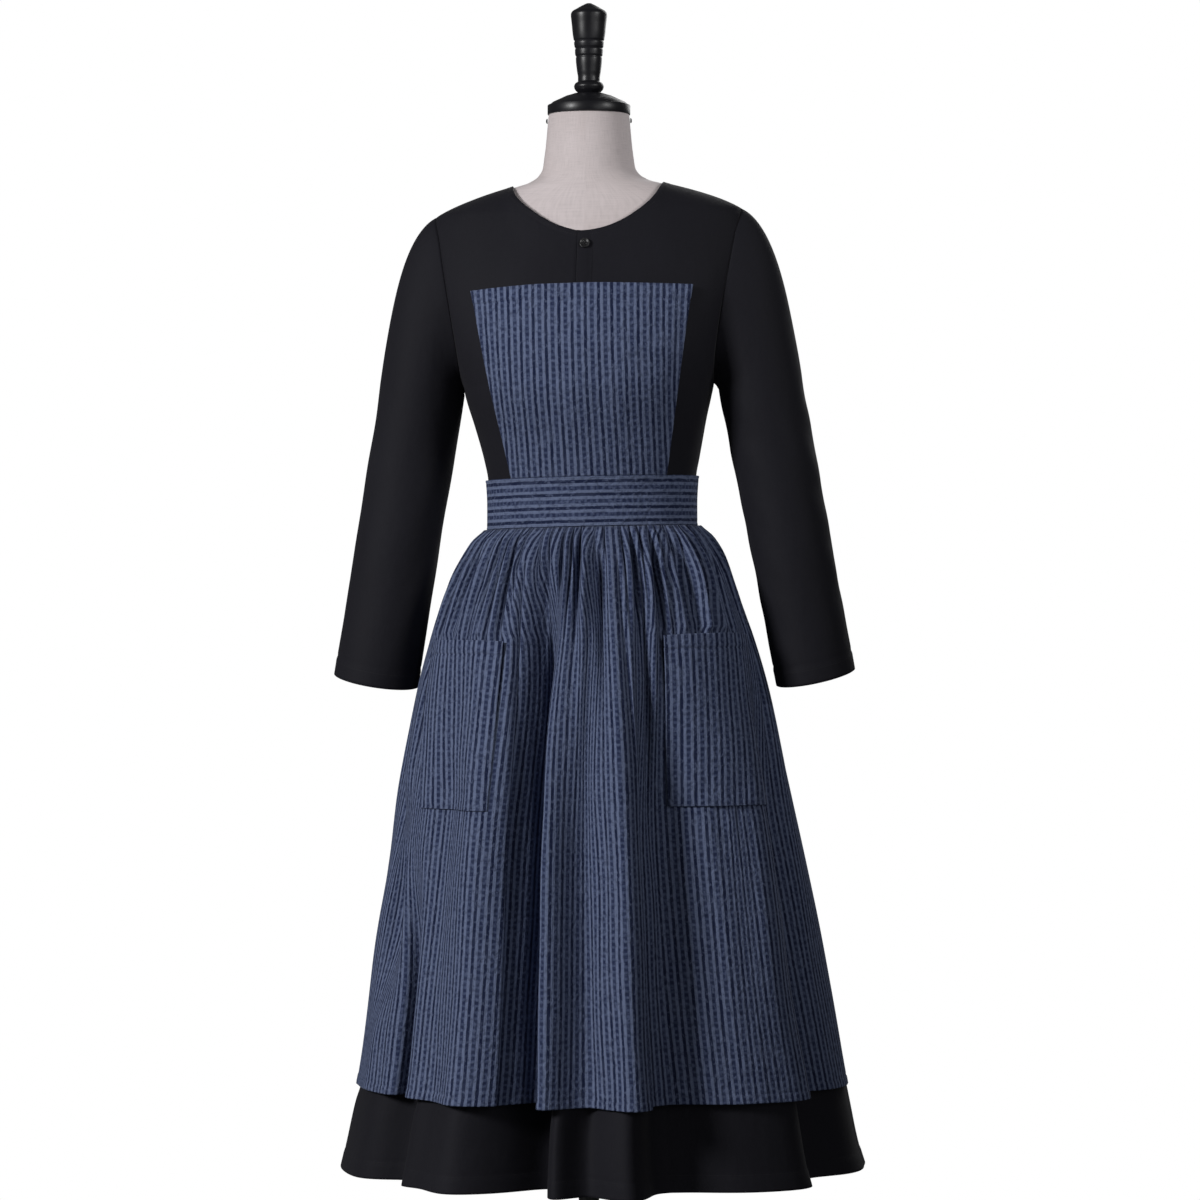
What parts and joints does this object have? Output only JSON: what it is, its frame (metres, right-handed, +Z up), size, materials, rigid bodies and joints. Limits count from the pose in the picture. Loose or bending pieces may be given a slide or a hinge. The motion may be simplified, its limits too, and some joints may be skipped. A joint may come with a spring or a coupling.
{
  "type": "maid dress on dress form",
  "caption": "Long-sleeved round-neck maid dress under a striped pinafore apron with bib, gathered skirt and patch pockets, worn by a limbless dress form on a round stand.",
  "frame": {"origin": "on the floor, under the pole, at the centre of the stand base's flat underside", "axes": "+Z up along the pole; the front of the dress faces -Y; +X is towards the wearer's left"},
  "size_m": [0.6457, 0.6253, 1.6573],
  "materials": {
    "dress_cloth": "black matt plain weave",
    "apron_cloth": "blue striped crinkled cotton, matt",
    "button_plastic": "soft gloss black",
    "form_linen": "smooth natural linen cover",
    "cap_lacquer": "black satin lacquer on turned wood",
    "stand_paint": "black satin paint",
    "screw_steel": "blackened steel"
  },
  "bodies": {
    "root": {"bodice_front": "dress_cloth", "bodice_back": "dress_cloth", "sleeve_left": "dress_cloth", "sleeve_right": "dress_cloth", "skirt_front": "dress_cloth", "skirt_back": "dress_cloth", "neck_placket": "dress_cloth", "apron_bib": "apron_cloth", "apron_waistband": "apron_cloth", "apron_skirt": "apron_cloth", "pocket_left": "apron_cloth", "pocket_right": "apron_cloth", "neck_button": "button_plastic", "band_button_1": "button_plastic", "band_button_2": "button_plastic", "form_torso": "form_linen", "neck_cap": "cap_lacquer", "cap_handle": "cap_lacquer", "neck_screw_left": "screw_steel", "neck_screw_right": "screw_steel", "stand_base": "stand_paint", "stand_collar": "stand_paint", "stand_pole": "stand_paint"}
  },
  "joints": []
}
